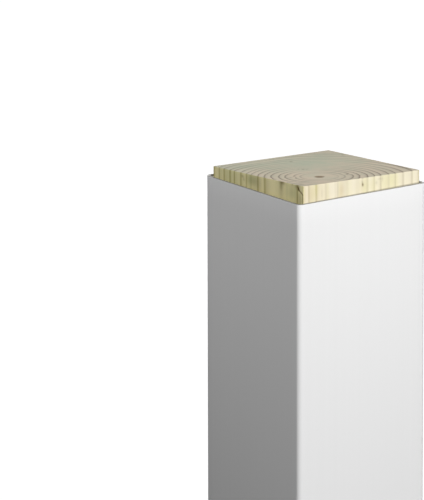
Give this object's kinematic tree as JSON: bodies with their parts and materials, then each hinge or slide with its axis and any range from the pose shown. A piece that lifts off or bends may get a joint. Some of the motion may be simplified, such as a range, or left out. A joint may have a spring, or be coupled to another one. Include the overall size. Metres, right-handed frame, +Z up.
{
  "type": "porch column wrap",
  "caption": "Square white vinyl sleeve, open at both ends, standing over the treated timber post that it covers, with the post's sawn top just above its rim.",
  "frame": {"origin": "middle of the foot, on the surface that the column stands on", "axes": "+Z up the column; X and Y square to the wrap's four faces"},
  "size_m": [0.1498, 0.1498, 1.4715],
  "materials": {
    "wrap": "satin",
    "post": "planed sides and a sawn top, unfinished, with a green treatment tint"
  },
  "bodies": {
    "root": {"column_wrap": "wrap", "timber_post": "post"}
  },
  "joints": []
}
